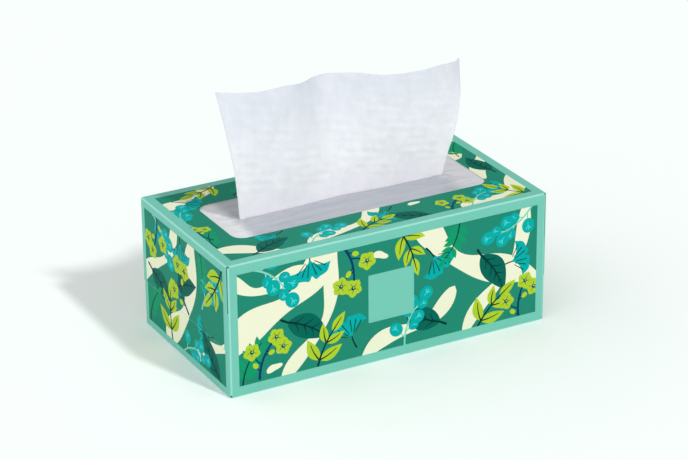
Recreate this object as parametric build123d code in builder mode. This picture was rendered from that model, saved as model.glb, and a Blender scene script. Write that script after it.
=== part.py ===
"""Tissue box with one sheet standing in its window, in millimetres, +Z up.

The origin is the middle of the underside. The long side runs along X and the front faces -Y.
The carton is one folded and glued board, so it is one solid. A clear film with a slit is
glued under its window. A clip of interfolded sheets lies inside, and the top sheet stands in
the slit with its side margins folded back behind it. Print lies on the board in thin fields
of ink, one node for each ink.
"""

import os
from math import atan2, cos, degrees, exp, hypot, pi, radians, sin

from build123d import *

os.makedirs("parts", exist_ok=True)

# Carton, outside sizes
length = 230.0
depth = 124.0
height = 90.0
board = 0.5
fold_radius = 1.0
glue_lap = 16.0

# End closures: each flap stops short of the fold or the flap across from it
flap_tip_gap = 32.0
dust_flap_gap = 16.0
dust_flap_corner = 9.0
dust_flap_clearance = 0.8
flap_inset = 1.0
end_flap = height - flap_tip_gap
dust_flap = (depth - dust_flap_gap) / 2

# Window in the top panel, and the film glued under it
window_end_rim = 23.5
window_side_rim = 32.75
window_length = length - 2 * window_end_rim
window_width = depth - 2 * window_side_rim
window_radius = 8.0
film = 0.15
film_glue_margin = 11.0
film_corner = 4.0
slit_clearance = 0.3

# Clip of interfolded sheets, with the room left round it inside the carton
clip_end_room = 11.0
clip_side_room = 8.5
clip_head_room = 16.25
clip_clearance = 0.1
clip_folds = 14
clip_fold_bulge = 0.5

# Sheet of two-ply tissue, flat size and thickness
sheet_width = length - 2 * clip_end_room
sheet_length = 213.0
sheet = 0.4

# Standing part of the top sheet, with its depth wave. A tuck is how far each side of the
# sheet is drawn in from where it would lie flat.
stand_height = 80.5
stand_tilt = -3.6
foot_tuck = 32.0
top_tuck = 17.0
foot_half_width = sheet_width / 2 - foot_tuck
top_half_width = sheet_width / 2 - top_tuck
foot_roll = 1.2
top_roll = 2.2
foot_wave = 0.12
foot_place = -1.3
belly = 5.0
wave_crest = 18.0
wave_crest_x = -6.0
wave_crest_half = 22.0
wave_trough = 7.0
wave_end_rise = 11.0

# Tail of the top sheet, from the slit back over the clip and round under itself
neck_drop = 0.45
tail_bend_spread = 0.2
tail_trace = 0.001
tail_roll = 0.8
tail_bend = 8.0
tail_turn = 1.4
tail_tuck = 3.5

# Print: a plain border all round each panel, thin fields of ink, and a bare square in front
border = 7.0
end_border = 5.5
ink = 0.06
bare_square = 33.0
flap_edge_gap = 0.4

# Motifs of the print at size 1, and the unit of length of their places
motif_unit = 1.0
ribbon_sway = 6.5
ribbon_facets = 16
leaf_fullest = 0.45
broad_length = 34.0
broad_width = 17.0
coin = 10.4
coin_count = 4
coin_first = 0.28
coin_spread = 62.0
coin_closing = 40.0
coin_reach = 10.1
coin_reach_loss = 1.5
coin_stalk = 34.0
coin_bow = 0.12
sprig_stalk = 30.0
sprig_bow = 0.06
sprig_pairs = (0.3, 0.72)
sprig_leaves = (19.0, 15.0)
sprig_spreads = (46.0, 38.0)
sprig_slimness = 0.42
tip_leaf_length = 16.0
tip_leaf_width = 7.0

# Places worked out from the sizes above
half_length = length / 2
top_inside = height - board
film_top = top_inside
film_under = film_top - film
tube_end = half_length - 2 * board - fold_radius
clip_floor = 2 * board + clip_clearance
clip_top = film_under - clip_head_room
clip_width = depth - 2 * clip_side_room
neck_low = film_under - neck_drop
tail_end_half_width = sheet_width / 2 - tail_tuck


def closing_flap(panel_z, end_x, tip_z, width, side):
    """A board strip that runs out along a panel and folds over the end of the carton.

    side is 1 where the flap hangs down from the top panel and -1 where it stands up
    from the bottom panel. The flap's outside face is at end_x.
    """
    inner_z = panel_z - side * board
    with BuildPart() as flap:
        with BuildSketch(Plane.XZ) as profile:
            with BuildLine():
                Polyline(
                    (tube_end, panel_z),
                    (end_x, panel_z),
                    (end_x, tip_z),
                    (end_x - board, tip_z),
                    (end_x - board, inner_z),
                    (tube_end, inner_z),
                    close=True,
                )
            make_face()
            outer = profile.vertices().sort_by_distance((end_x, panel_z))[0]
            fillet(outer, fold_radius)
            inner = profile.vertices().sort_by_distance((end_x - board, inner_z))[0]
            fillet(inner, fold_radius - board)
        extrude(amount=width / 2, both=True)
    return flap.part


# The tube: front, bottom, back and top panels in one ring, its seam at the lower rear fold
with BuildPart() as carton:
    with BuildSketch(Plane.YZ) as girth:
        with Locations((0, height / 2)):
            RectangleRounded(depth, height, fold_radius)
            RectangleRounded(
                depth - 2 * board, height - 2 * board, fold_radius - board, mode=Mode.SUBTRACT
            )
        # The bottom panel ends where the rear fold begins, and the fold stands on it
        with Locations((depth / 2, 0)):
            Rectangle(
                2 * fold_radius, 2 * (board + fold_radius), mode=Mode.SUBTRACT
            )
        with BuildLine():
            fold_centre = (depth / 2 - fold_radius, board + fold_radius)
            outer_arc = CenterArc(fold_centre, fold_radius, -90, 90)
            inner_arc = CenterArc(fold_centre, fold_radius - board, -90, 90)
            Line(outer_arc @ 0, inner_arc @ 0)
            Line(outer_arc @ 1, inner_arc @ 1)
        make_face()
        with Locations((depth / 2 - fold_radius - glue_lap / 2, 1.5 * board)):
            Rectangle(glue_lap, board)
    extrude(amount=tube_end, both=True)

    # End flaps: dust flaps innermost, then the bottom flap, and the top flap outside
    flap_width = depth - 2 * flap_inset
    dust_x = half_length - 2 * board
    dust_low = 2 * board + dust_flap_clearance
    dust_high = height - board - dust_flap_clearance
    with BuildSketch(Plane.XY.offset(dust_low)) as dust_profile:
        with BuildLine():
            Polyline(
                (tube_end, -depth / 2),
                (dust_x, -depth / 2),
                (dust_x, -depth / 2 + dust_flap),
                (dust_x - board, -depth / 2 + dust_flap),
                (dust_x - board, -depth / 2 + board),
                (tube_end, -depth / 2 + board),
                close=True,
            )
        make_face()
        corner = (dust_x, -depth / 2)
        fillet(dust_profile.vertices().sort_by_distance(corner)[0], fold_radius)
        corner = (dust_x - board, -depth / 2 + board)
        fillet(dust_profile.vertices().sort_by_distance(corner)[0], fold_radius - board)
    dust = extrude(amount=dust_high - dust_low, mode=Mode.PRIVATE)
    tip_edges = dust.edges().filter_by(Axis.X).group_by(Axis.Y)[-1]
    dust = dust.chamfer(dust_flap_corner, dust_flap_corner, tip_edges)
    add(dust)
    mirror(dust, about=Plane.XZ)
    add(closing_flap(0.0, half_length - board, end_flap, flap_width, -1))
    add(closing_flap(height, half_length, height - end_flap, flap_width, 1))
    end = carton.part.split(Plane.YZ.offset(tube_end), keep=Keep.TOP)
    mirror(end, about=Plane.YZ)

    # Window through the top panel
    with BuildSketch(Plane.XY.offset(top_inside)):
        RectangleRounded(window_length, window_width, window_radius)
    extrude(amount=board, mode=Mode.SUBTRACT)
carton.part.label = "carton"
export_step(carton.part, "parts/carton.step")


# Film: a clear sheet glued under the top panel, with a slit that the standing sheet parts
def sheet_wave(x, u):
    """Depth of the sheet at x, for u from 0 at the slit to 1 at the top edge."""
    wave = (
        wave_crest * exp(-(((x - wave_crest_x) / wave_crest_half) ** 2))
        - wave_trough
        + wave_end_rise * (x / top_half_width) ** 6
    )
    grown = foot_wave + (1 - foot_wave) * u**1.3
    return grown * wave + foot_place * (1 - u) - belly * sin(pi * u)


def foot(x):
    """Depth of the sheet at x where it passes through the slit."""
    return sheet_wave(x, 0)


def behind(x, wave, offset):
    """The point at an offset to the rear of the curve wave(x), square to the curve."""
    step = 0.5
    slope = (wave(x + step) - wave(x - step)) / (2 * step)
    size = hypot(1, slope)
    return x - offset * slope / size, wave(x) + offset / size


def beside(x, wave, centre_offset, reach, side):
    """The point at a reach out to one side of a roll's centre, along the curve."""
    centre = behind(x, wave, centre_offset)
    out = behind(x, wave, centre_offset + 1)
    return centre[0] + side * reach * (out[1] - centre[1]), centre[1] - side * reach * (
        out[0] - centre[0]
    )


def face_length(wave, half_width):
    """Length of the curve from the middle to one side."""
    steps = 60
    xs = [half_width * k / steps for k in range(steps + 1)]
    return sum(hypot(b - a, wave(b) - wave(a)) for a, b in zip(xs, xs[1:]))


with BuildPart() as film_window:
    with BuildSketch(Plane.XY.offset(film_under)):
        RectangleRounded(
            window_length + 2 * film_glue_margin,
            window_width + 2 * film_glue_margin,
            film_corner,
        )
        with BuildLine():
            front_lip = -sheet / 2 - slit_clearance
            rear_lip = 2 * foot_roll + sheet / 2 + slit_clearance
            lip_x = [foot_half_width * k / 6 for k in range(-6, 7)]
            for lip in (front_lip, rear_lip):
                Spline(*[behind(x, foot, lip) for x in lip_x])
            for side in (-1, 1):
                end_x = side * foot_half_width
                ThreePointArc(
                    behind(end_x, foot, front_lip),
                    beside(end_x, foot, foot_roll, foot_roll - front_lip, side),
                    behind(end_x, foot, rear_lip),
                )
        make_face(mode=Mode.SUBTRACT)
    extrude(amount=film)
film_window.part.label = "film_window"
export_step(film_window.part, "parts/film_window.step")


# Clip of interfolded sheets: the long sides show the folds as soft ridges
with BuildPart() as tissue_clip:
    with BuildSketch(Plane.YZ):
        with BuildLine():
            fold = (clip_top - clip_floor) / clip_folds
            for side in (-1, 1):
                for k in range(clip_folds):
                    low = clip_floor + k * fold
                    ThreePointArc(
                        (side * (clip_width / 2 - clip_fold_bulge), low),
                        (side * clip_width / 2, low + fold / 2),
                        (side * (clip_width / 2 - clip_fold_bulge), low + fold),
                    )
            for z in (clip_floor, clip_top):
                Line(
                    (clip_fold_bulge - clip_width / 2, z), (clip_width / 2 - clip_fold_bulge, z)
                )
        make_face()
    extrude(amount=sheet_width / 2, both=True)
tissue_clip.part.label = "tissue_clip"
export_step(tissue_clip.part, "parts/tissue_clip.step")


# Facets of the sheet's face as shares of its half width, closer together on the crest
crest_steps = (-1.6, -1.2, -0.85, -0.5, -0.18, 0.18, 0.5, 0.85, 1.2, 1.6)
crest_shares = [(wave_crest_x + wave_crest_half * k) / top_half_width for k in crest_steps]
face_shares = (-1, -0.92, -0.8, -0.64, *crest_shares, 0.5, 0.66, 0.8, 0.92, 1)


def sheet_section(plane, wave, half_width, roll):
    """The sheet across its width, as a face on a plane.

    Its front runs from side to side along the wave, in facets. At each side it turns back
    in a crease, and what is left of the width lies behind it as a margin, two roll radii
    away.
    """
    margin = sheet_width / 2 - face_length(wave, half_width) - pi * roll
    with BuildLine() as outline:
        for face_side in (-sheet / 2, sheet / 2):
            back = 2 * roll - face_side
            Polyline(*[behind(half_width * share, wave, face_side) for share in face_shares])
            for side in (-1, 1):
                end_x = side * half_width
                crease = [
                    behind(end_x, wave, face_side),
                    beside(end_x, wave, roll, roll - face_side, side),
                    behind(end_x, wave, back),
                ]
                margin_x = [end_x - side * margin * share for share in (0.5, 1)]
                Polyline(*crease, *[behind(x, wave, back) for x in margin_x])
        for side in (-1, 1):
            tip_x = side * (half_width - margin)
            Line(
                behind(tip_x, wave, 2 * roll + sheet / 2),
                behind(tip_x, wave, 2 * roll - sheet / 2),
            )
    return plane * Face(Wire(outline.edges()))


# The top sheet: its standing part, then its tail over the clip and back under itself
standing_sections = []
for u in (0.0, 0.2, 0.4, 0.6, 0.8, 1.0):
    tilt = radians(stand_tilt * u)
    plane = Plane(
        origin=(0, 0, height + stand_height * u),
        x_dir=(cos(tilt), 0, sin(tilt)),
        z_dir=(-sin(tilt), 0, cos(tilt)),
    )
    standing_sections.append(
        sheet_section(
            plane,
            lambda x: sheet_wave(x, u),
            foot_half_width + (top_half_width - foot_half_width) * u,
            foot_roll + (top_roll - foot_roll) * u,
        )
    )

tail_low = clip_top + clip_clearance + 2 * tail_roll + sheet / 2
tail_high = tail_low + 2 * tail_turn
tail_rear = clip_width / 2 - 2 * tail_turn
bend_top = tail_high + tail_bend
tail_used = (
    stand_height
    + (height - bend_top)
    + pi / 2 * tail_bend
    + (tail_rear - tail_bend)
    + pi * tail_turn
)
tail_front = tail_rear - (sheet_length - tail_used)

def trace(x):
    """Depth of the tail, which keeps a trace of the wave so that its facets stay apart."""
    return tail_trace * foot(x)


# The neck keeps the wave of the foot down through the slit. The tail then bends to the rear,
# spreads over the clip, turns round and lies under itself. Each station has its place, the
# turn of its plane, its share of the way out and its wave.
stations = [(0, height, 0, 0, foot), (0, neck_low, 0, 0, foot), (0, bend_top, 0, 0, trace)]
for turn in (30, 60, 90):
    a = radians(turn)
    place = (tail_bend * (1 - cos(a)), bend_top - tail_bend * sin(a))
    stations.append((*place, turn, tail_bend_spread * turn / 90, trace))
stations.append((tail_rear, tail_high, 90, 1, trace))
for turn in (30, -30, -90):
    a = radians(turn)
    place = (tail_rear + tail_turn * cos(a), tail_high - tail_turn * (1 - sin(a)))
    stations.append((*place, turn, 1, trace))
stations.append((tail_front, tail_low, -90, 1, trace))

tail_sections = []
for y, z, turn, out, wave in stations:
    a = radians(turn)
    tail_sections.append(
        sheet_section(
            Plane(origin=(0, y, z), x_dir=(1, 0, 0), z_dir=(0, -sin(a), cos(a))),
            wave,
            foot_half_width + (tail_end_half_width - foot_half_width) * out,
            foot_roll + (tail_roll - foot_roll) * out,
        )
    )

with BuildPart() as popup_tissue:
    loft(standing_sections, ruled=True)
    loft(tail_sections, ruled=True)
popup_tissue.part.label = "popup_tissue"
export_step(popup_tissue.part, "parts/popup_tissue.step")


# Motifs of the print on a panel: kind, then place from the middle of the panel in motif
# units, and heading, then length and width in the same units and phase of a ribbon, or the
# size of another motif
front_motifs = [
    ("ribbon", -116, -22, 42, 100, 17, 0.4),
    ("ribbon", 14, 46, -36, 118, 15, 2.2),
    ("broad", -74, -2, -30, 1.0),
    ("broad", 36, -28, 150, 0.95),
    ("broad", 66, 12, -58, 1.0),
    ("coins", -102, 40, -36, 1.0),
    ("coins", 106, 42, -146, 0.95),
    ("sprig", -54, -42, 66, 0.95),
    ("sprig", 62, -42, 50, 0.95),
]
top_motifs = [
    ("ribbon", 58, -62, 28, 86, 13, 2.0),
    ("ribbon", 20, 60, -26, 90, 13, 0.1),
    ("broad", -88, -52, 22, 0.85),
    ("broad", 32, -54, 152, 0.8),
    ("broad", -18, 54, 202, 0.85),
    ("sprig", -18, -56, 26, 0.75),
]
end_motifs = [
    ("ribbon", -22, -46, 64, 98, 14, 1.6),
    ("broad", -48, 0, -30, 1.0),
    ("sprig", -16, -42, 76, 0.95),
]


def turned(motifs):
    """The same motifs with the panel turned half round."""
    return [(kind, -x, -y, heading + 180, *rest) for kind, x, y, heading, *rest in motifs]


def spot(x, y, heading, along, across):
    """The point along and across a heading that starts at x, y."""
    a = radians(heading)
    return x + along * cos(a) - across * sin(a), y + along * sin(a) + across * cos(a)


def on_stalk(x, y, heading, stalk_length, bow, t):
    """Point and heading at a share t of a bowed stalk."""
    slope = bow * 4 * (1 - 2 * t)
    place = spot(x, y, heading, stalk_length * t, bow * stalk_length * 4 * t * (1 - t))
    return *place, heading + degrees(atan2(slope, 1))


def draw_leaf(x, y, heading, leaf_length, leaf_width):
    """A pointed leaf from its stalk, as two arcs."""
    with BuildLine() as outline:
        for side in (-1, 1):
            ThreePointArc(
                (x, y),
                spot(x, y, heading, leaf_fullest * leaf_length, side * leaf_width / 2),
                spot(x, y, heading, leaf_length, 0),
            )
    make_face(outline.edges())


def draw_ribbon(x, y, heading, ribbon_length, width, phase):
    """A pale ribbon that sways once along its length and swells and narrows."""
    edge = []
    shares = [0.5 - 0.5 * cos(pi * k / ribbon_facets) for k in range(ribbon_facets + 1)]
    ribbon_length *= motif_unit
    width *= motif_unit
    for side, ordered in ((-1, shares[:0:-1]), (1, shares[:-1])):
        for t in ordered:
            sway = 2 * pi * t + phase
            swell = 1 - 0.35 * cos(1.7 * 2 * pi * t + phase)
            half = width / 2 * swell * (1 - (2 * t - 1) ** 8) ** 0.5
            slope = 2 * pi * ribbon_sway / ribbon_length * cos(sway)
            size = hypot(1, slope)
            along = ribbon_length * t + side * half * slope / size
            across = ribbon_sway * sin(sway) - side * half / size
            edge.append(spot(x, y, heading, along, across))
    Polygon(*edge, align=None)


def draw_broad(x, y, heading, size):
    """One broad dark leaf."""
    draw_leaf(x, y, heading, broad_length * size, broad_width * size)


def draw_coins(x, y, heading, size):
    """Round leaves on alternate sides of a bowed stalk."""
    for k in range(coin_count):
        t = coin_first + (1 - coin_first) * k / (coin_count - 1)
        px, py, along = on_stalk(x, y, heading, coin_stalk * size, coin_bow, t)
        spread = (-1) ** k * (coin_spread - coin_closing * t) if k < coin_count - 1 else 0
        reach = (coin_reach - coin_reach_loss * t) * size
        with Locations(spot(px, py, along + spread, reach, 0)):
            Circle(coin / 2 * size)


def draw_sprig(x, y, heading, size):
    """Two pairs of leaves and a tip leaf on a bowed stalk."""
    stalk = (x, y, heading, sprig_stalk * size, sprig_bow)
    for t, leaf_length, spread in zip(sprig_pairs, sprig_leaves, sprig_spreads):
        px, py, along = on_stalk(*stalk, t)
        slim = sprig_slimness * leaf_length * size
        for side in (-1, 1):
            draw_leaf(px, py, along + side * spread, leaf_length * size, slim)
    draw_leaf(*on_stalk(*stalk, 1), tip_leaf_length * size, tip_leaf_width * size)


# Each panel: its middle on the outside of the board, which way is right and which is out,
# half its printed width, its lowest and highest printed line, its cut-out and its motifs
front_half = (length / 2 - border, border - height / 2, height / 2 - border)
top_half = (length / 2 - border, border - depth / 2, depth / 2 - border)
end_half = depth / 2 - end_border
flap_line = height / 2 - end_flap
end_high = (end_half, flap_line + flap_edge_gap, height / 2 - end_border)
end_low = (end_half, end_border - height / 2, flap_line - flap_edge_gap)
middle = height / 2
inner_end = half_length - board
turned_ends = turned(end_motifs)
panels = [
    ((0, -depth / 2, middle), (1, 0, 0), (0, -1, 0), front_half, "square", front_motifs),
    ((0, depth / 2, middle), (-1, 0, 0), (0, 1, 0), front_half, None, turned(front_motifs)),
    ((0, 0, height), (1, 0, 0), (0, 0, 1), top_half, "window", top_motifs),
    ((-half_length, 0, middle), (0, -1, 0), (-1, 0, 0), end_high, None, end_motifs),
    ((-inner_end, 0, middle), (0, -1, 0), (-1, 0, 0), end_low, None, end_motifs),
    ((half_length, 0, middle), (0, 1, 0), (1, 0, 0), end_high, None, turned_ends),
    ((inner_end, 0, middle), (0, 1, 0), (1, 0, 0), end_low, None, turned_ends),
]
inks = {
    "print_green": {},
    "print_cream": {"ribbon": draw_ribbon},
    "print_dark": {"broad": draw_broad},
    "print_teal": {"coins": draw_coins},
    "print_lime": {"sprig": draw_sprig},
}


def printed_room(half, low, high, cut_out):
    """The area of a panel that takes ink."""
    with BuildSketch() as room:
        with Locations((0, (low + high) / 2)):
            Rectangle(2 * half, high - low)
        if cut_out == "square":
            Rectangle(bare_square, bare_square, mode=Mode.SUBTRACT)
        if cut_out == "window":
            RectangleRounded(window_length, window_width, window_radius, mode=Mode.SUBTRACT)
    return room.sketch


def drawn_motifs(motifs, motifs_drawn):
    """The motifs of one ink, whole, also where they run over the edge of the print."""
    with BuildSketch() as drawing:
        for kind, x, y, *rest in motifs:
            if kind in motifs_drawn:
                motifs_drawn[kind](x * motif_unit, y * motif_unit, *rest)
    return drawing.sketch


for level, (node, motifs_drawn) in enumerate(inks.items()):
    with BuildPart() as printed:
        for origin, right, out, (half, low, high), cut_out, motifs in panels:
            shape = printed_room(half, low, high, cut_out)
            if motifs_drawn:
                if not any(kind in motifs_drawn for kind, *place in motifs):
                    continue
                shape = drawn_motifs(motifs, motifs_drawn) & shape
            if not shape:
                continue
            with BuildSketch(Plane(origin=origin, x_dir=right, z_dir=out).offset(level * ink)):
                add(shape)
            extrude(amount=ink)
    printed.part.label = node
    export_step(printed.part, f"parts/{node}.step")
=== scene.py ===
"""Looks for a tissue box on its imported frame: leaf print, puckered film and a soft sheet.

Sizes in the settings are metres. Shape functions work in millimetres, and pieces are scaled
to metres when they are made. The frame has +X along the long side and the front faces -Y.
"""

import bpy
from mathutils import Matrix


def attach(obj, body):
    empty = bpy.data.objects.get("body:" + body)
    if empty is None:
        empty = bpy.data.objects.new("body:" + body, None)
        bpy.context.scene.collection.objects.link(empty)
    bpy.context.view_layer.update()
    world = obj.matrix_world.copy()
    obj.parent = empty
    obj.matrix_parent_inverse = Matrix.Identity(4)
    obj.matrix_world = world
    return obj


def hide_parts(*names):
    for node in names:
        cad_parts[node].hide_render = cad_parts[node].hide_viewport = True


bl_info = {
    "name": "Tissue box looks",
    "version": (1, 0, 0),
    "blender": (4, 5, 0),
    "location": "3D View > Sidebar > Tissue box",
    "description": "Print, film, sheet and stage for a folding carton of facial tissues",
    "category": "Object",
}

import bpy
import numpy as np
from bpy.props import FloatProperty, FloatVectorProperty, PointerProperty
from mathutils import Matrix, Vector
from mathutils.geometry import delaunay_2d_cdt

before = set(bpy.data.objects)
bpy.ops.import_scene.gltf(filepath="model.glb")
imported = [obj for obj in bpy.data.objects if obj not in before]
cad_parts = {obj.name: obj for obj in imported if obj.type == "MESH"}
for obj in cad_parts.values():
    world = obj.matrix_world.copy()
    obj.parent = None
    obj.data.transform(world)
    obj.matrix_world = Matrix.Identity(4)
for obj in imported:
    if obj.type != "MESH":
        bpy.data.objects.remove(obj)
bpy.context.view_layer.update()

MM = 0.001


def node_size(name):
    """Size of a CAD node along X, Y and Z, and the height of its top, in millimetres."""
    corners = np.array(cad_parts[name].bound_box) / MM
    low, high = corners.min(0).round(3), corners.max(0).round(3)
    return [*(high - low).tolist(), float(high[2])]


# Carton, film and clip as the frame has them, in millimetres
LENGTH, DEPTH, HEIGHT, _ = node_size("carton")
FILM_LENGTH, FILM_WIDTH, _, _ = node_size("film_window")
CLIP_LENGTH, CLIP_WIDTH, _, CLIP_TOP = node_size("tissue_clip")

# Board; the flap line is the lower edge of the top closing flap
BOARD = 0.5
FLAP_LINE = 32.0

# Film: it is glued to the board all round the window, with its level just under the board
GLUE_MARGIN = 11.0
WINDOW_LENGTH = FILM_LENGTH - 2 * GLUE_MARGIN
WINDOW_WIDTH = FILM_WIDTH - 2 * GLUE_MARGIN
WINDOW_RADIUS = 8.0
FILM_CORNER, FILM_DROP = 4.0, 0.08
FILM_LEVEL = HEIGHT - BOARD - FILM_DROP
SLIT_MIDDLE = 0.7

# Sheet: flat size, its stand, and how far its creases are from the middle at the slit, at the
# top edge and in the tail
SHEET_WIDTH, SHEET_LENGTH = CLIP_LENGTH, 213.0
STAND_HEIGHT, STAND_TILT = 80.5, -3.6
FOOT_LEFT, FOOT_RIGHT = 74.2, 72.0
TOP_LEFT, TOP_RIGHT = 87.1, 89.4
TAIL_HALF = 100.5
CREASE_RADIUS = 0.75

# The wave's raised ends have their full depth here; rises of the top edge follow, each with
# its place along X, half width and height
WAVE_HALF = 87.0
EDGE_RISES = ((-44, 12, 1.9), (14, 9, 0.9), (68, 12, 1.2))


def linear(code):
    """A colour code as linear red, green and blue."""
    values = np.array([int(code[k : k + 2], 16) for k in (1, 3, 5)]) / 255
    low = values / 12.92
    high = ((values + 0.055) / 1.055) ** 2.4
    return tuple(float(v) for v in np.where(values <= 0.04045, low, high))


def colour(label, description, code):
    """A colour setting."""
    return FloatVectorProperty(
        name=label, description=description, default=linear(code), subtype="COLOR", min=0, max=1
    )


def distance(label, description, millimetres):
    """A length setting, in metres."""
    return FloatProperty(
        name=label, description=description, default=millimetres * MM, unit="LENGTH"
    )


def angle(label, description, degrees):
    """An angle setting, in radians."""
    return FloatProperty(
        name=label, description=description, default=np.radians(degrees), subtype="ANGLE"
    )


class TissueBoxCarton(bpy.types.PropertyGroup):
    """Colours of the board."""

    border: colour("Border", "Printed border round each panel", "#70C0AE")
    # Fold: a painted highlight along each fold, where light would catch the rounded board
    fold: colour("Fold", "Border where a fold stretches the ink", "#9AD8CB")
    bare: colour("Bare board", "Inside of the board and its cut edges", "#D9D6CC")


class TissueBoxPrint(bpy.types.PropertyGroup):
    """Sizes and colours of the print."""

    edge: distance("Edge", "Plain border from a fold to the print", 7.0)
    end_edge: distance("End edge", "Plain border on the end panels", 5.5)
    square: distance("Bare square", "Side of the bare square in front", 33.0)
    level: distance("Level", "Height of the ink over the board", 0.06)
    green: colour("Green", "Ground", "#1F836C")
    cream: colour("Cream", "Ribbons and pebbles", "#E6E8CC")
    dark: colour("Dark green", "Broad leaves", "#006254")
    teal: colour("Teal", "Round leaves", "#00A5A1")
    lime: colour("Lime", "Sprigs and blossoms", "#A8C62B")
    emerald: colour("Emerald", "Fronds", "#0A9564")
    vein: colour("Vein", "Veins and dark stalks", "#00332F")
    navy: colour("Navy", "Forked twigs", "#003C5F")
    stem: colour("Stem", "Stalks of the round leaves", "#79CDB9")
    shine: colour("Shine", "Light marks on the round leaves", "#4FD0CC")
    lemon: colour("Lemon", "Middles of the blossoms", "#C4DA4C")


class TissueBoxFilm(bpy.types.PropertyGroup):
    """Sizes and colours of the film."""

    thickness: distance("Thickness", "Thickness of the film", 0.1)
    pucker: distance("Pucker", "Height of the long puckers", 0.35)
    lift: distance("Lift", "How far the sheet pulls the lips up", 0.9)
    # Tint: the film's grey with painted shade for the dim space under it in front of the sheet
    shaded_tint: colour("Tint", "Film over the dim room in front of the sheet", "#A3A7AF")
    # Streak: painted reflections of the film's puckers
    reflection_streak: colour("Streak", "Lighter streaks", "#B9BCC4")
    # Pale: partly the pale sheets under the film at its ends, partly painted light that lifts the
    # sheet's cast shadow
    pale: colour("Pale", "Film over the pale sheets at its ends", "#DCDDE0")


class TissueBoxSheet(bpy.types.PropertyGroup):
    """Sizes and colours of the sheets."""

    thickness: distance("Thickness", "Thickness of the two plies", 0.25)
    crinkle: distance("Crinkle", "Height of the soft crinkles", 0.45)
    # Top-edge colours are painted darker, and the slit colours painted lighter, against the light and
    # shade on the standing sheet
    bright: colour("Bright", "Thick fibre near the top edge", "#DEE0E8")
    shade: colour("Shade", "Thin fibre near the top edge", "#D3D7DF")
    low_bright_painted_light: colour("Low bright", "Thick fibre near the slit", "#FEFCFF")
    low_shade_painted_light: colour("Low shade", "Thin fibre near the slit", "#F5F4FC")


class TissueBoxStage(bpy.types.PropertyGroup):
    """Floor, light and camera."""

    floor: colour("Floor", "Floor and backdrop", "#F9FFFD")
    floor_side: distance("Floor side", "Side of the floor", 14000.0)
    key: FloatProperty(name="Key", description="Strength of the key light", default=1.47, min=0)
    key_size: angle("Key size", "Width of the key light in the sky", 4.5)
    key_azimuth: angle("Key azimuth", "Key light round the box", 18.0)
    key_elevation: angle("Key elevation", "Key light over the floor", 45.0)
    sky: FloatProperty(name="Sky", description="Strength of the even light", default=0.68, min=0)
    side: FloatProperty(name="Side", description="How much brighter the sky is at -X", default=0.8)
    azimuth: angle("Azimuth", "Camera round the box", -28.43)
    elevation: angle("Elevation", "Camera over the floor", 24.03)
    roll: angle("Roll", "Camera about its own axis", -0.536)
    target: distance("Target", "Height that the camera turns about", 46.0)
    reach: distance("Reach", "Camera to target", 1747.45)
    shift_right: distance("Shift right", "Camera aside of its line to the target", -0.125)
    shift_up: distance("Shift up", "Camera over its line to the target", 17.595)
    lens: FloatProperty(name="Lens", description="Focal length, mm", default=140.89, unit="CAMERA")


# Meshes


def new_piece(name, points, faces, smooth=True):
    """A mesh object from an array of points in millimetres and an array of face corners."""
    mesh = bpy.data.meshes.new(name)
    mesh.from_pydata((np.asarray(points) * MM).tolist(), [], np.asarray(faces).tolist())
    mesh.polygons.foreach_set("use_smooth", np.full(len(mesh.polygons), smooth))
    mesh.update()
    piece = bpy.data.objects.new(name, mesh)
    bpy.context.scene.collection.objects.link(piece)
    return piece


def grid_faces(rows, columns, closed=False):
    """Corners of the quads of a grid of points, row after row; closed joins the last column."""
    across = columns if closed else columns - 1
    row, column = np.meshgrid(np.arange(rows - 1), np.arange(across), indexing="ij")
    beside = (column + 1) % columns
    corners = [row * columns + column, row * columns + beside]
    corners += [(row + 1) * columns + beside, (row + 1) * columns + column]
    return np.stack(corners, -1).reshape(-1, 4)


def give_thickness(piece, thickness, offset=0.0):
    """A wall on both sides of the surface for offset 0, or behind it for offset -1."""
    wall = piece.modifiers.new("Thickness", "SOLIDIFY")
    wall.thickness = thickness
    wall.offset = offset
    wall.use_rim = True


def finish_piece(piece, material, slot, *nodes):
    """Gives a piece its material, puts it on the body and replaces CAD nodes. The slot is not used.
    """
    piece.data.materials.clear()
    piece.data.materials.append(material)
    if nodes:
        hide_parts(*nodes)
    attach(piece, "root")


# Shaders


def group_socket(group, label, kind, output=False, default=None):
    """A socket on the outside of a node group."""
    direction = "OUTPUT" if output else "INPUT"
    socket = group.interface.new_socket(name=label, in_out=direction, socket_type=kind)
    if default is not None:
        socket.default_value = default


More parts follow.
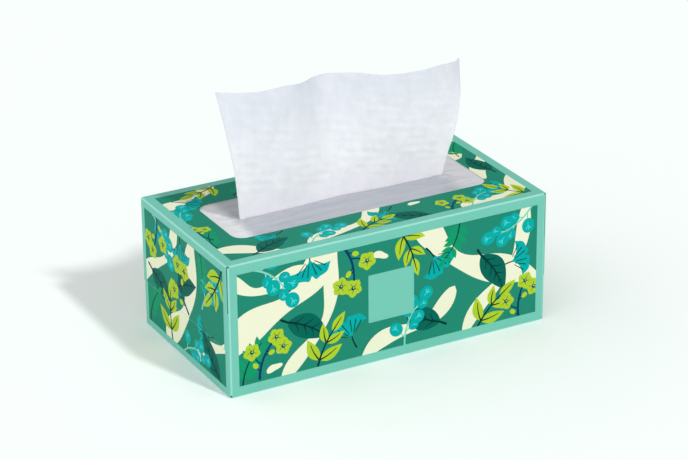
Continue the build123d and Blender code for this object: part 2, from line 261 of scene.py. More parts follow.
def mottle_group():
    """Soft mottling: two layers of noise, as a mask from 0 to 1 and as a height."""
    if "soft_mottle" in bpy.data.node_groups:
        return bpy.data.node_groups["soft_mottle"]
    group = bpy.data.node_groups.new("soft_mottle", "ShaderNodeTree")
    group_socket(group, "Vector", "NodeSocketVector")
    for label, default in (("Coarse", 60.0), ("Fine", 600.0), ("Share", 0.4)):
        group_socket(group, label, "NodeSocketFloat", default=default)
    for label in ("Mask", "Height"):
        group_socket(group, label, "NodeSocketFloat", output=True)
    nodes, links = group.nodes, group.links
    inside, outside = nodes.new("NodeGroupInput"), nodes.new("NodeGroupOutput")
    noises = []
    for label, detail in (("Coarse", 3.0), ("Fine", 2.0)):
        noise = nodes.new("ShaderNodeTexNoise")
        noise.inputs["Detail"].default_value = detail
        links.new(inside.outputs["Vector"], noise.inputs["Vector"])
        links.new(inside.outputs[label], noise.inputs["Scale"])
        noises.append(noise)
    mix = nodes.new("ShaderNodeMix")
    links.new(inside.outputs["Share"], mix.inputs["Factor"])
    links.new(noises[0].outputs["Fac"], mix.inputs["A"])
    links.new(noises[1].outputs["Fac"], mix.inputs["B"])
    spread = nodes.new("ShaderNodeMapRange")
    spread.inputs["From Min"].default_value = 0.32
    spread.inputs["From Max"].default_value = 0.68
    links.new(mix.outputs["Result"], spread.inputs["Value"])
    links.new(spread.outputs["Result"], outside.inputs["Mask"])
    links.new(mix.outputs["Result"], outside.inputs["Height"])
    return group


class Shade:
    """A material under construction, with short ways to place and join nodes."""

    def __init__(self, name, roughness, **fixed):
        self.material = bpy.data.materials.new(name)
        self.material.use_nodes = True
        self.nodes = self.material.node_tree.nodes
        self.links = self.material.node_tree.links
        self.shader = next(n for n in self.nodes if n.type == "BSDF_PRINCIPLED")
        self.shader.inputs["Roughness"].default_value = roughness
        for label, value in fixed.items():
            self.shader.inputs[label.replace("_", " ")].default_value = value

    def feed(self, socket, value):
        """Joins a socket to another, or sets it; a colour of three numbers is opaque."""
        if isinstance(value, bpy.types.NodeSocket):
            self.links.new(value, socket)
        else:
            socket.default_value = (*value, 1) if socket.type == "RGBA" else value

    def math(self, operation, *values):
        """A Math node."""
        node = self.nodes.new("ShaderNodeMath")
        node.operation = operation
        for socket, value in zip(node.inputs, values):
            self.feed(socket, value)
        return node.outputs["Value"]

    def ramp(self, value, low, high, to_low=0.0, to_high=1.0):
        """A smooth step of a value from low to high."""
        node = self.nodes.new("ShaderNodeMapRange")
        node.interpolation_type = "SMOOTHSTEP"
        inputs = dict(zip(("From Min", "From Max", "To Min", "To Max"), (low, high, to_low, to_high)))
        for label, number in inputs.items():
            node.inputs[label].default_value = number
        self.feed(node.inputs["Value"], value)
        return node.outputs["Result"]

    def mix(self, factor, first, second):
        """A blend of two colours, whose sockets come after those for numbers and vectors."""
        node = self.nodes.new("ShaderNodeMix")
        node.data_type = "RGBA"
        for number, value in zip((0, 6, 7), (factor, first, second)):
            self.feed(node.inputs[number], value)
        return node.outputs[2]

    def place(self, source="Object", scale=(1, 1, 1)):
        """Coordinates, stretched by a scale."""
        where = self.nodes.new("ShaderNodeTexCoord").outputs[source]
        mapping = self.nodes.new("ShaderNodeMapping")
        mapping.inputs["Scale"].default_value = scale
        self.links.new(where, mapping.inputs["Vector"])
        return mapping.outputs["Vector"]

    def split(self):
        """X, Y and Z of the object coordinates."""
        node = self.nodes.new("ShaderNodeSeparateXYZ")
        self.links.new(self.nodes.new("ShaderNodeTexCoord").outputs["Object"], node.inputs[0])
        return node.outputs

    def mottle(self, vector, coarse, fine, share):
        """The soft mottle group."""
        node = self.nodes.new("ShaderNodeGroup")
        node.node_tree = mottle_group()
        self.links.new(vector, node.inputs["Vector"])
        for label, value in (("Coarse", coarse), ("Fine", fine), ("Share", share)):
            node.inputs[label].default_value = value
        return node.outputs

    def bump(self, height, depth, strength=1.0):
        """A bump of that depth, in metres, into the shader's normal."""
        node = self.nodes.new("ShaderNodeBump")
        node.inputs["Strength"].default_value = strength
        node.inputs["Distance"].default_value = depth
        self.links.new(height, node.inputs["Height"])
        self.links.new(node.outputs["Normal"], self.shader.inputs["Normal"])

    def base(self, value):
        """The base colour, as a socket or three numbers."""
        self.feed(self.shader.inputs["Base Color"], value)


# Carton


def board_grain(shade):
    """The fine grain of coated board, as a bump."""
    grain = shade.mottle(shade.place(), 900.0, 3500.0, 0.5)
    shade.bump(grain["Height"], 0.00002, 0.4)


def board_material(settings):
    """Mint outside, with a painted highlight along each fold, and bare at cut edges and inside.

    The outside is all that lies less than the skin's depth under the carton's box, apart from
    the window's rim. That depth takes in both closing flaps. A fold is where two outsides meet; its
    painted highlight lightens the border.
    """
    skin_depth, slack, flap_slack = 1.2, 0.02, 0.1
    fold_start, fold_end = 1.3, 0.5
    flaps = 2 * BOARD
    shade = Shade("board_coated", 0.45, Specular_IOR_Level=0.15)
    x, y, z = shade.split()
    far_x = shade.math("ABSOLUTE", x)
    far_y = shade.math("ABSOLUTE", y)
    far_z = shade.math("ABSOLUTE", shade.math("SUBTRACT", z, HEIGHT / 2 * MM))
    outer = []
    folded = []
    for value, half in ((far_x, LENGTH / 2), (far_y, DEPTH / 2), (far_z, HEIGHT / 2)):
        edge = half - skin_depth
        outer.append(shade.ramp(value, (edge - slack) * MM, (edge + slack) * MM))
        folded.append(shade.ramp(value, (half - fold_start) * MM, (half - fold_end) * MM))
    # The upright folds carry the dust flaps, which lie two boards further in, so their painted
    # highlight sits there
    end = LENGTH / 2 - flaps
    upright = shade.ramp(far_x, (end - fold_start) * MM, (end - fold_end) * MM)
    under_flaps = shade.math("LESS_THAN", far_x, (end + flap_slack) * MM)
    upright = shade.math("MULTIPLY", upright, under_flaps)
    skin = shade.math("MAXIMUM", shade.math("MAXIMUM", outer[0], outer[1]), outer[2])
    window = shade.math(
        "MULTIPLY",
        shade.math("LESS_THAN", far_x, (WINDOW_LENGTH / 2 + slack) * MM),
        shade.math("LESS_THAN", far_y, (WINDOW_WIDTH / 2 + slack) * MM),
    )
    inside = shade.math("LESS_THAN", far_z, (HEIGHT / 2 - slack) * MM)
    rim = shade.math("MULTIPLY", window, inside)
    skin = shade.math("MULTIPLY", skin, shade.math("SUBTRACT", 1.0, rim))
    # Painted highlight: the border turns lighter where two outsides meet at a fold
    highlight_meetings = ((upright, folded[1]), folded[1:], folded[::2])
    pairs = [shade.math("MULTIPLY", first, second) for first, second in highlight_meetings]
    fold = shade.math("MAXIMUM", shade.math("MAXIMUM", pairs[0], pairs[1]), pairs[2])
    border = shade.mix(shade.math("MULTIPLY", fold, 0.9), settings.border, settings.fold)
    shade.base(shade.mix(skin, settings.bare, border))
    board_grain(shade)
    return shade.material


# Print: outlines of motifs, each a list of (ink, outline in millimetres)


def turned(points, x, y, heading):
    """Points turned by a heading in degrees and moved to x, y."""
    a = np.radians(heading)
    c, s = np.cos(a), np.sin(a)
    along, across = points.T
    return np.stack([x + along * c - across * s, y + along * s + across * c], 1)


def leaf(x, y, heading, length, width, fullness=0.8, bend=0.0, count=14):
    """Pointed leaf: half its width is a sine of t to the fullness, on a bowed middle line."""
    t = np.linspace(0, 1, count)
    half = width / 2 * np.sin(np.pi * t**fullness)
    middle = bend * length * 4 * t * (1 - t)
    upper = np.stack([length * t, middle + half], 1)
    lower = np.stack([length * t, middle - half], 1)
    return turned(np.concatenate([lower, upper[-2:0:-1]]), x, y, heading)


def oval(x, y, heading, along, across, count=24):
    """Ellipse with those half sizes."""
    a = np.linspace(0, 2 * np.pi, count, endpoint=False)
    return turned(np.stack([along * np.cos(a), across * np.sin(a)], 1), x, y, heading)


def bow(x, y, heading, length, bend, count=16):
    """Middle line of a stalk: a parabola whose height is bend times its length."""
    t = np.linspace(0, 1, count)
    return turned(np.stack([length * t, bend * length * 4 * t * (1 - t)], 1), x, y, heading)


def stroke(path, start, end):
    """Outline of a line that narrows from one width to another, with round ends."""
    along = np.gradient(path, axis=0)
    along /= np.linalg.norm(along, axis=1)[:, None]
    across = np.stack([-along[:, 1], along[:, 0]], 1)
    half = np.linspace(start, end, len(path))[:, None] / 2
    a = np.linspace(-np.pi / 2, np.pi / 2, 5)[1:-1]
    tip = path[-1] + half[-1] * (np.outer(np.cos(a), along[-1]) + np.outer(np.sin(a), across[-1]))
    tail = path[0] - half[0] * (np.outer(np.cos(a), along[0]) + np.outer(np.sin(a), across[0]))
    return np.concatenate([path - half * across, tip, (path + half * across)[::-1], tail])


def on_path(path, t):
    """Point and heading at a share t of a path."""
    place = t * (len(path) - 1)
    k = int(min(place, len(path) - 2))
    step = path[k + 1] - path[k]
    return path[k] + step * (place - k), np.degrees(np.arctan2(step[1], step[0]))


def aim(heading):
    """Unit vector of a heading in degrees."""
    return np.array([np.cos(np.radians(heading)), np.sin(np.radians(heading))])


def coins(x, y, heading, size=1.0, count=4):
    """Round leaves on alternate sides of a bowed stalk, each with three light marks."""
    path = bow(x, y, heading, 34 * size, 0.12)
    stalks = [("stem", stroke(path, 1.5 * size, 0.9 * size))]
    tops = []
    for k in range(2 * count - 1):
        t = 0.28 + 0.72 * k / (2 * count - 2)
        between = k % 2
        grown = (0.74 if between else 1.0) * size
        p, along = on_path(path, t)
        side = 1 if k % 4 in (0, 3) else -1
        ahead = along + (side * (62 - 40 * t) if k < 2 * count - 2 else 0)
        middle = p + (10.1 - 1.5 * t) * grown * aim(ahead)
        stalks.append(("stem", stroke(np.stack([p, middle]), 0.9 * size, 0.7 * size)))
        tops.append(("teal", oval(*middle, ahead, 5.5 * grown, 4.9 * grown)))
        for spread in (38, 0, -38):
            start = middle - 2.4 * grown * aim(ahead) * (spread == 0)
            mark = np.stack([start, middle + 2.9 * grown * aim(ahead + spread)])
            tops.append(("shine", stroke(mark, 0.35 * grown, 0.75 * grown)))
    return stalks + tops


def frond(x, y, heading, size=1.0, count=5):
    """Pairs of narrow leaves along a dark stalk."""
    path = bow(x, y, heading, 30 * size, 0.1)
    leaves = []
    for t in np.linspace(0.2, 0.88, count):
        p, along = on_path(path, t)
        length = (11 - 6 * abs(t - 0.35)) * size
        for side in (-1, 1):
            ahead = along + side * (58 - 14 * t)
            leaves.append(("emerald", leaf(*p, ahead, length, 0.42 * length, 0.9)))
    p, along = on_path(path, 1.0)
    leaves.append(("emerald", leaf(*p, along, 8 * size, 3.6 * size, 0.9)))
    return leaves + [("vein", stroke(path, 1.1 * size, 0.5 * size))]


def blossom(x, y, heading, size=1.0):
    """Five petals with a dark line in each, and a dark middle with a bright spot."""
    turns = [heading + 72 * k for k in range(5)]
    here = np.array([x, y])
    flower = [("lime", leaf(x, y, a, 9.6 * size, 8.2 * size, 1.45)) for a in turns]
    for a in turns:
        line = np.stack([here + 2.2 * size * aim(a), here + 5.6 * size * aim(a)])
        flower.append(("dark", stroke(line, 0.75 * size, 0.4 * size)))
    flower.append(("navy", oval(x, y, 0, 2.1 * size, 2.1 * size, 14)))
    spot = oval(x + 0.4 * size, y + 0.4 * size, 0, 0.8 * size, 0.8 * size, 10)
    return flower + [("lemon", spot)]


def spray(x, y, heading, size=1.0, count=3):
    """Forked dark twig with a blossom on each fork and buds between."""
    path = bow(x, y, heading, 30 * size, 0.1)
    twigs = [("navy", stroke(path, 2.1 * size, 1.3 * size))]
    tops = []
    for k, t in enumerate(np.linspace(0.35, 1.0, count)):
        side = (-1) ** k
        p, along = on_path(path, t)
        last = k == count - 1
        ahead = along if last else along + side * 52
        twig = bow(*p, ahead, (2 if last else 13) * size, 0.08 * side, 8)
        twigs.append(("navy", stroke(twig, 1.2 * size, 0.8 * size)))
        tops += blossom(*twig[-1], ahead, 0.72 * size)
    for t, side in ((0.18, 1), (0.55, -1)):
        p, along = on_path(path, t)
        twig = bow(*p, along + side * 45, 6 * size, 0.05, 6)
        twigs.append(("navy", stroke(twig, 1.0 * size, 0.6 * size)))
        tops.append(("lime", oval(*twig[-1], along + side * 45, 2.6 * size, 1.9 * size, 14)))
    return twigs + tops


def sprig(x, y, heading, size=1.0):
    """Two pairs of lime leaves and a tip leaf, each with a dark vein."""
    path = bow(x, y, heading, 30 * size, 0.06)
    leaves = []
    veins = [("vein", stroke(path, 1.7 * size, 1.0 * size))]
    for t, length, spread in ((0.3, 19 * size, 46), (0.72, 15 * size, 38)):
        p, along = on_path(path, t)
        for side in (-1, 1):
            ahead = along + side * spread
            leaves.append(("lime", leaf(*p, ahead, length, 0.44 * length, 0.8, side * 0.05)))
            vein = bow(*p, ahead, 0.74 * length, side * 0.05)
            veins.append(("vein", stroke(vein, 1.2 * size, 0.5 * size)))
    p, along = on_path(path, 1.0)
    leaves.append(("lime", leaf(*p, along, 16 * size, 7 * size, 0.8)))
    veins.append(("vein", stroke(bow(*p, along, 11.5 * size, 0), 1.1 * size, 0.5 * size)))
    return leaves + veins


def broad(x, y, heading, size=1.0):
    """One broad dark leaf with a middle vein and four pairs of side veins."""
    path = bow(x, y, heading, 31.6 * size, 0.06)
    shape = [("dark", leaf(x, y, heading, 34 * size, 17 * size, 0.78, 0.06, 20))]
    stalk = bow(*(np.array([x, y]) - 5 * size * aim(heading)), heading, 5 * size, 0, 3)[:-1]
    shape.append(("vein", stroke(np.concatenate([stalk, path]), 1.7 * size, 0.6 * size)))
    for t in np.linspace(0.16, 0.78, 4):
        p, along = on_path(path, t)
        reach = (7.6 * np.sin(np.pi * (0.12 + t) ** 0.8) + 0.4) * size
        for side in (-1, 1):
            vein = bow(*p, along + side * 46, reach, -0.07 * side, 6)
            shape.append(("vein", stroke(vein, 0.95 * size, 0.4 * size)))
    return shape


def ribbon(x, y, heading, length, width, phase):
    """Cream ribbon: a sine for its middle line, and a width that swells and narrows."""
    t = np.linspace(0, 1, 36)
    middle = np.stack([length * t, 6.5 * np.sin(2 * np.pi * t + phase)], 1)
    along = np.gradient(middle, axis=0)
    along /= np.linalg.norm(along, axis=1)[:, None]
    across = np.stack([-along[:, 1], along[:, 0]], 1)
    swell = 1 - 0.35 * np.cos(1.7 * 2 * np.pi * t + phase)
    half = (width / 2 * swell * np.sqrt(1 - (2 * t - 1) ** 8))[:, None]
    sides = [middle - half * across, (middle + half * across)[::-1][1:-1]]
    return [("cream", turned(np.concatenate(sides), x, y, heading))]


def pebble(x, y, heading, size):
    """Cream pebble: a flattened circle with a slow and a quick wave in its radius."""
    a = np.linspace(0, 2 * np.pi, 26, endpoint=False)
    r = size * (1 + 0.18 * np.cos(2 * a + 0.6) + 0.12 * np.cos(3 * a + 1.1))
    return [("cream", turned(np.stack([r * np.cos(a), 0.55 * r * np.sin(a)], 1), x, y, heading))]


def fan(x, y, heading, size=1.0):
    """Fan-shaped leaf on a short stalk, with a notch, a wavy rim and dark ribs.

    At a share s of its spread, the rim lies at a radius with a low wave, less a bell curve for
    the notch. The sides are parabolas back to the stalk.
    """
    reach, spread = 17 * size, 64
    s = np.linspace(-1, 1, 41)
    a = np.radians(spread * s)
    r = reach * (1 + 0.035 * np.cos(9 * a) - 0.26 * np.exp(-((s / 0.09) ** 2)))
    rim = np.stack([r * np.cos(a), r * np.sin(a)], 1)
    t = np.linspace(0, 1, 9)[1:-1, None]
    hollow = np.array([0.5, 0.12]) * reach
    low = (1 - t) * rim[0] * (1 - t) + 2 * t * (1 - t) * hollow * (1, -1)
    high = (1 - t) * rim[-1] * (1 - t) + 2 * t * (1 - t) * hollow
    leaf_rim = np.concatenate([rim, high, [[0, 0]], low[::-1]])
    stalk = bow(*(np.array([x, y]) - 8 * size * aim(heading)), heading, 9.5 * size, 0.05, 8)
    shape = [("teal", turned(leaf_rim, x, y, heading))]
    straight = np.stack([np.linspace(4.5, 13.5, 6) * size, np.zeros(6)], 1)
    for share in (-0.78, -0.5, -0.22, 0.22, 0.5, 0.78):
        rib = turned(straight, x, y, heading + spread * share)
        shape.append(("vein", stroke(rib, 0.5 * size, 0.8 * size)))
    return shape + [("vein", stroke(stalk, 1.3 * size, 0.9 * size))]


# Motifs of each panel from the middle of the panel: x, y, heading, then sizes
FRONT = [
    (ribbon, -116, -22, 42, 100, 17, 0.4), (ribbon, -72, -46, 66, 96, 8, 1.6),
    (ribbon, -22, -46, 30, 80, 9, 0.2), (ribbon, 14, 46, -36, 118, 15, 2.2),
    (ribbon, 58, -46, 62, 100, 8, 0.9), (ribbon, -116, 34, -10, 66, 8, 2.6),
    (pebble, -84, -31, 20, 5), (pebble, -8, 29, -15, 5), (pebble, 86, -12, 60, 4.5),
    (pebble, -62, 24, 70, 4),
    (fan, -58, 38, -82, 0.95), (fan, -28, -24, 112, 0.95), (fan, 30, 20, -52, 0.95),
    (fan, 88, 2, 14, 0.9),
    (broad, -74, -2, -30, 1.0), (broad, 36, -28, 150, 0.95), (broad, 66, 12, -58, 1.0),
    (coins, -102, 40, -36, 1.0), (coins, 106, 42, -146, 0.95), (coins, 10, -42, 72, 0.95),
    (sprig, -54, -42, 66, 0.95), (sprig, 62, -42, 50, 0.95), (sprig, 4, 44, -62, 0.85),
    (frond, -106, -40, 64, 1.05), (frond, 50, 42, -112, 0.95),
    (spray, -34, 40, -76, 0.95), (spray, 96, -42, 84, 0.9), (spray, -94, -36, 66, 0.9),
]
TOP = [
    (ribbon, -116, -44, -12, 80, 9, 0.6), (ribbon, -52, -62, 32, 84, 8, 1.2),
    (ribbon, 58, -62, 28, 86, 13, 2.0), (ribbon, -118, 22, 40, 70, 9, 0.6),
    (ribbon, -46, 24, 26, 84, 8, 1.8), (ribbon, 20, 60, -26, 90, 13, 0.1),
    (ribbon, 98, -24, 78, 80, 8, 0.9),
    (pebble, -82, 46, 10, 4.5), (pebble, 32, -34, 10, 4),
    (fan, -66, -34, -150, 0.8), (fan, 84, -36, -20, 0.8), (fan, -96, 40, -40, 0.8),
    (fan, 74, 54, -112, 0.8), (fan, 12, -36, -140, 0.8),
    (broad, -88, -52, 22, 0.85), (broad, 32, -54, 152, 0.8), (broad, 104, -12, 98, 0.8),
    (broad, -18, 54, 202, 0.85), (broad, 56, 36, 12, 0.8),
    (coins, -54, -58, 34, 0.8), (coins, 62, -58, 40, 0.8), (coins, -106, 0, 84, 0.8),
    (coins, 20, 32, 42, 0.75),
    (sprig, -18, -56, 26, 0.75), (sprig, 108, -58, 132, 0.8), (sprig, -64, 57, -154, 0.75),
    (sprig, 100, 57, -150, 0.75),
    (frond, -107, -34, 76, 0.8), (frond, 97, 18, 66, 0.8), (frond, -62, 34, 26, 0.75),
    (spray, 48, -58, 52, 0.7), (spray, -104, -22, 100, 0.62), (spray, -4, 29, 50, 0.65),
]
END = [
    (ribbon, -64, -24, 52, 92, 8, 0.4), (ribbon, -22, -46, 64, 98, 14, 1.6),
    (ribbon, 14, -46, 44, 84, 8, 0.2),
    (pebble, 40, 24, 30, 4.5), (pebble, -14, -26, 80, 4),
    (fan, -4, 36, -84, 0.95), (fan, 34, -14, -160, 0.95),
    (broad, -48, 0, -30, 1.05), (broad, 48, -38, 132, 1.05), (broad, -10, 2, 22, 0.9),
    (coins, -54, 42, -32, 1.05), (coins, 26, 2, 42, 1.0), (coins, -6, -42, 20, 0.9),
    (sprig, -20, -42, 92, 1.05), (sprig, 56, 42, -122, 1.0),
    (frond, -54, -40, 62, 1.0), (frond, 24, 42, -84, 0.8),
    (spray, 6, -10, 118, 1.0), (spray, -38, 42, -104, 0.9),
]
# Inks: a CAD node for each, and whether its piece replaces that node
INKS = {
    "green": ("print_green", True), "cream": ("print_cream", True), "dark": ("print_dark", True),
    "teal": ("print_teal", True), "lime": ("print_lime", True), "emerald": ("print_green", False),
    "vein": ("print_dark", False), "navy": ("print_dark", False), "stem": ("print_teal", False),
    "shine": ("print_teal", False), "lemon": ("print_lime", False),
}


def box_outline(left, low, right, high):
    """Rectangle."""
    return np.array([(left, low), (right, low), (right, high), (left, high)], float)


def rounded_outline(length, width, radius, count=9):
    """Rectangle with round corners, anticlockwise."""
    a = np.radians(np.linspace(0, 90, count))
    corner = radius * np.stack([np.cos(a), np.sin(a)], 1)
    centre = np.array([length / 2 - radius, width / 2 - radius])
    parts = []
    for k, sign in enumerate(((1, 1), (-1, 1), (-1, -1), (1, -1))):
        q = np.radians(90 * k)
        spin = np.array([[np.cos(q), np.sin(q)], [-np.sin(q), np.cos(q)]])
        parts.append(corner @ spin + centre * np.array(sign))
    return np.concatenate(parts)


def flatten(rooms, motifs, holes):
    """Splits a panel into triangles that don't overlap and finds which outline is on top.

    Returns the points, the triangles, the room that each triangle lies in and its ink.
    """
    shapes = [("green", outline) for outline in rooms]
    for draw, *place in motifs:
        shapes += draw(*place)
    shapes += [("bare", outline) for outline in holes]
    points = np.concatenate([outline for _, outline in shapes])
    starts = np.cumsum([0] + [len(outline) for _, outline in shapes])
    faces = [list(range(a, b)) for a, b in zip(starts[:-1], starts[1:])]
    corners = [Vector(p) for p in points.tolist()]
    inside_only, slack = 1, 1e-5
    found = delaunay_2d_cdt(corners, [], faces, inside_only, slack, True)
    flat, _, triangles, _, _, owners = found
    top = np.array([max(o) if o else -1 for o in owners])
    room = np.array([min(o) if o else -1 for o in owners])
    kept = (room >= 0) & (room < len(rooms))
    names = np.array([name for name, _ in shapes] + ["none"])
    places = np.array([tuple(p) for p in flat])
    return places, np.array(triangles)[kept], room[kept], names[top[kept]]


def on_panel(flat, middle, right, out, level):
    """Flat panel points in the frame: middle plus x to the right, y up and level outwards."""
    right, out = np.array(right, float), np.array(out, float)
    up = np.cross(out, right)
    return np.array(middle, float) + flat[:, :1] * right + flat[:, 1:] * up + level * out


def print_panels(settings):
    """Points and triangles of each ink over all the panels."""
    edge, end_edge = settings.edge / MM, settings.end_edge / MM
    level, square = settings.level / MM, settings.square / MM
    middle = HEIGHT / 2
    front_room = [box_outline(edge - LENGTH / 2, edge - middle, LENGTH / 2 - edge, middle - edge)]
    top_room = [box_outline(edge - LENGTH / 2, edge - DEPTH / 2, LENGTH / 2 - edge, DEPTH / 2 - edge)]
    half, line = DEPTH / 2 - end_edge, FLAP_LINE - middle
    # The print stops a little short of the cut edge between the two closing flaps
    over, under = 0.25, 0.15
    end_rooms = [
        box_outline(-half, line + over, half, middle - end_edge),
        box_outline(-half, end_edge - middle, half, line - under),
    ]
    square_hole = rounded_outline(square, square, 0.6, 3)
    window_hole = rounded_outline(WINDOW_LENGTH, WINDOW_WIDTH, WINDOW_RADIUS)
    front = flatten(front_room, FRONT, [square_hole])
    back = flatten(front_room, FRONT, [])
    top = flatten(top_room, TOP, [window_hole])
    end = flatten(end_rooms, END, [])
    # The rear and the right end have the other side's print, turned half round
    turned_back = (-back[0], *back[1:])
    turned_end_rooms = [-room for room in end_rooms]
    other_end = flatten(turned_end_rooms, END, [])
    turned_other = (-other_end[0], *other_end[1:])
    walls = [
        (front, (0, -DEPTH / 2, middle), (1, 0, 0), (0, -1, 0), (0,)),
        (turned_back, (0, DEPTH / 2, middle), (-1, 0, 0), (0, 1, 0), (0,)),
        (top, (0, 0, HEIGHT), (1, 0, 0), (0, 0, 1), (0,)),
        (end, (-LENGTH / 2, 0, middle), (0, -1, 0), (-1, 0, 0), (0, -BOARD)),
        (turned_other, (LENGTH / 2, 0, middle), (0, 1, 0), (1, 0, 0), (0, -BOARD)),
    ]
    inks = {name: ([], []) for name in INKS}
    for (flat, triangles, room, ink), place, right, out, depths in walls:
        for number, deeper in enumerate(depths):
            points = on_panel(flat, place, right, out, level + deeper)
            for name, (point_lists, face_lists) in inks.items():
                mine = triangles[(ink == name) & (room == number)]
                if len(mine) == 0:
                    continue
                used, corners = np.unique(mine, return_inverse=True)
                start = sum(len(p) for p in point_lists)
                point_lists.append(points[used])
                face_lists.append(corners.reshape(-1, 3) + start)
    return inks


def ink_material(name, tone):
    """Smooth ink with a little of the board's grain."""
    shade = Shade("ink_" + name, 0.5, Specular_IOR_Level=0.04)
    shade.base(tone)
    board_grain(shade)
    return shade.material


# Sheet


def standing_wave(x, u):
    """Depth of the standing sheet at x: a crest, a trough and raised ends that grow with u.

    u runs from 0 at the slit to 1 at the top edge. The crest is a bell curve, the ends a sixth
    power, the growth a power of u, and half a sine of u makes the belly.
    """
    wave = 18 * np.exp(-(((x + 6) / 22) ** 2)) - 7 + 11 * (x / WAVE_HALF) ** 6
    return (0.12 + 0.88 * u**1.3) * wave - 1.3 * (1 - u) - 5 * np.sin(np.pi * u)


def slit_wave(x):
    """Depth of the sheet where it passes the slit."""
    return standing_wave(x, np.zeros_like(x))


def smooth(value):
    """Smooth step of a value: 0 up to 0, 1 from 1 on."""
    value = np.clip(value, 0, 1)
    return value**2 * (3 - 2 * value)


def soft_noise(x, y, length, seed, count=9):
    """Sum of cosines with headings and phases drawn from a seed, about 1 high."""
    draw = np.random.default_rng(seed)
    total = 0.0
    for _ in range(count):
        heading = draw.uniform(0, np.pi)
        phase = draw.uniform(0, 2 * np.pi)
        stretch = draw.uniform(0.7, 1.5)
        along = x * np.cos(heading) + y * np.sin(heading)
        total = total + np.cos(2 * np.pi * along / (length * stretch) + phase)
    return total / np.sqrt(count)


def stations(y, z, turn, u, out):
    """A row for each station; one number stands for all the rows of its column."""
    return np.stack(np.broadcast_arrays(y, z, turn, u, out), 1)


def sheet_stations():
    """Stations down the sheet: y, z, turn of the section, u (or -1 below the slit) and spread.

    The standing part runs from the top edge to the slit, then the tail goes down, bends to the
    rear in a quarter circle, runs over the clip, and turns back under itself in a half circle.
    """
    rest, bend_radius, turn_radius = 0.4, 8.0, 1.4
    low = CLIP_TOP + rest + 2 * CREASE_RADIUS
    high = low + 2 * turn_radius
    rear = CLIP_WIDTH / 2 - 2 * turn_radius
    bend_top = high + bend_radius
    standing = STAND_HEIGHT + HEIGHT - bend_top
    used = standing + np.pi / 2 * bend_radius + rear - bend_radius + np.pi * turn_radius
    front = rear - (SHEET_LENGTH - used)
    # Share of the tail's full spread before and after the bend
    before_bend, after_bend = 0.03, 0.23
    u = np.linspace(1, 0, 110)
    stand = stations(0, HEIGHT + STAND_HEIGHT * u, 0, u, 0)
    t = np.linspace(0, 1, 5)[1:]
    down = stations(0, HEIGHT + (bend_top - HEIGHT) * t, 0, -1, before_bend * t)
    turn = np.linspace(0, 90, 11)[1:]
    y = bend_radius * (1 - np.cos(np.radians(turn)))
    z = bend_top - bend_radius * np.sin(np.radians(turn))
    bend = stations(y, z, turn, -1, before_bend + (after_bend - before_bend) * turn / 90)
    t = np.linspace(0, 1, 16)[1:]
    y = bend_radius + (rear - bend_radius) * t
    run = stations(y, high, 90, -1, after_bend + (1 - after_bend) * t)
    turn = np.linspace(90, -90, 13)[1:]
    y = rear + turn_radius * np.cos(np.radians(turn))
    z = high - turn_radius * (1 - np.sin(np.radians(turn)))
    back = stations(y, z, turn, -1, 1)
    under = stations(rear + (front - rear) * t, low, -90, -1, 1)
    return np.concatenate([stand, down, bend, run, back, under])


